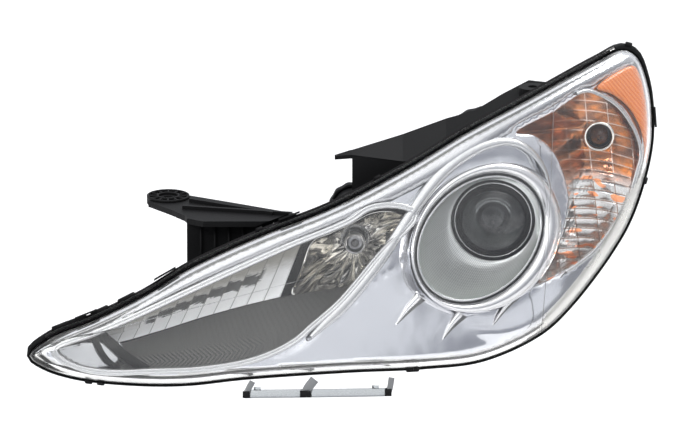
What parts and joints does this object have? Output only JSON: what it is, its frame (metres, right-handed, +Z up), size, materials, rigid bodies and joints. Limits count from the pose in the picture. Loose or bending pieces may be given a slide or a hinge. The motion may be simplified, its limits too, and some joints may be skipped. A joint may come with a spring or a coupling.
{
  "type": "car headlight assembly",
  "caption": "Swept car headlight: clear lens over a chrome bezel, low-beam projector, fluted high beam, amber turn signal and side marker, black housing with arms.",
  "frame": {"origin": "centre of the bolt hole in the inboard mounting arm, at the arm's upper face", "axes": "+Z up, +X outboard (towards the side of the car), +Y towards the rear of the car; the lens faces -Y"},
  "size_m": [0.5452, 0.4809, 0.2323],
  "materials": {
    "black_plastic": "glass-filled black polypropylene, moulded grain",
    "clear_lens": "hard-coated clear polycarbonate",
    "rim_seal": "butyl sealing bead",
    "chrome_bezel": "vacuum-metallised trim with a faint violet cast",
    "satin_silver": "satin silver paint",
    "mirror_metal": "vapour-deposited aluminium under lacquer",
    "dark_chrome": "fine-lined dark metallised trim",
    "shelf_grey": "fine-ribbed charcoal grey plastic",
    "amber_lens": "translucent amber polycarbonate",
    "optic_glass": "polished glass",
    "steel_parts": "zinc-plated steel",
    "die_cast": "aluminium die casting",
    "grey_plastic": "heat-resistant grey nylon",
    "soft_rubber": "moulded rubber"
  },
  "bodies": {
    "lamp_body": {"housing": "black_plastic", "outer_lens": "clear_lens", "lens_seal": "rim_seal", "lens_clip_1": "black_plastic", "lens_clip_2": "black_plastic", "lens_clip_3": "black_plastic", "lens_clip_4": "black_plastic", "bezel": "chrome_bezel", "bezel_band": "satin_silver", "upper_strip": "satin_silver", "turn_ring": "satin_silver", "side_marker_lens": "amber_lens", "projector_ring": "chrome_bezel", "projector_shroud": "dark_chrome", "turn_reflector": "mirror_metal", "flute_panel": "mirror_metal", "high_beam_floor": "shelf_grey", "inboard_arm": "black_plastic", "upper_bracket": "black_plastic", "lower_bracket": "clear_lens", "vent_cap": "soft_rubber", "connector_shell": "black_plastic", "pivot_stud_inboard": "steel_parts", "pivot_stud_outboard": "steel_parts", "aim_gearbox": "grey_plastic"},
    "aim_body": {"aim_carrier": "grey_plastic", "projector_lens": "optic_glass", "lens_retainer": "satin_silver", "projector_holder": "dark_chrome", "projector_bowl": "die_cast", "cutoff_shield": "steel_parts", "high_reflector": "mirror_metal", "high_bulb_shield": "satin_silver"},
    "aim_rod_body": {"aim_rod": "steel_parts"},
    "aim_knob_body": {"aim_knob": "grey_plastic"},
    "low_cap_body": {"low_cap": "black_plastic", "low_cap_gasket": "soft_rubber"},
    "high_cap_body": {"high_cap": "black_plastic", "high_cap_gasket": "soft_rubber"},
    "turn_socket_body": {"turn_socket": "grey_plastic", "turn_bulb": "amber_lens"},
    "marker_socket_body": {"marker_socket": "grey_plastic", "marker_bulb": "optic_glass"},
    "low_bulb_body": {"low_bulb": "optic_glass", "low_bulb_base": "grey_plastic"},
    "high_bulb_body": {"high_bulb": "optic_glass", "high_bulb_base": "grey_plastic"}
  },
  "joints": [
    {"name": "aim_pitch", "type": "hinge", "parent": "lamp_body", "child": "aim_body", "pos_m": [0.281, 0.098, -0.035], "axis": [1, 0, 0], "range_deg": [-2.5, 2.5]},
    {"name": "aim_rod_travel", "type": "slide", "parent": "lamp_body", "child": "aim_rod_body", "axis": [0, 1, 0], "range_m": [-0.003, 0.003]},
    {"name": "aim_knob_turn", "type": "hinge", "parent": "lamp_body", "child": "aim_knob_body", "pos_m": [0.271, 0.22, -0.103], "axis": [0, 1, 0], "range_deg": [-430, 430]},
    {"name": "low_cap_twist", "type": "hinge", "parent": "lamp_body", "child": "low_cap_body", "pos_m": [0.281, 0.236, -0.035], "axis": [0, 1, 0], "range_deg": [0, 40]},
    {"name": "high_cap_twist", "type": "hinge", "parent": "lamp_body", "child": "high_cap_body", "pos_m": [0.161, 0.096, -0.035], "axis": [0, 1, 0], "range_deg": [0, 40]},
    {"name": "turn_socket_twist", "type": "hinge", "parent": "lamp_body", "child": "turn_socket_body", "pos_m": [0.375, 0.228, 0.01], "axis": [0, 1, 0], "range_deg": [0, 45]},
    {"name": "marker_socket_twist", "type": "hinge", "parent": "lamp_body", "child": "marker_socket_body", "pos_m": [0.393, 0.248, 0.038], "axis": [0, 1, 0], "range_deg": [0, 45]},
    {"name": "low_bulb_twist", "type": "hinge", "parent": "aim_body", "child": "low_bulb_body", "pos_m": [0.281, 0.169, -0.035], "axis": [0, 1, 0], "range_deg": [0, 30]},
    {"name": "high_bulb_twist", "type": "hinge", "parent": "aim_body", "child": "high_bulb_body", "pos_m": [0.161, 0.002, -0.035], "axis": [0, 1, 0], "range_deg": [0, 30]}
  ],
  "couplings": [
    {"joint": "aim_rod_travel", "follows": "aim_pitch", "m_per_rad": 0.068},
    {"joint": "aim_knob_turn", "follows": "aim_pitch", "ratio": 170.9}
  ]
}
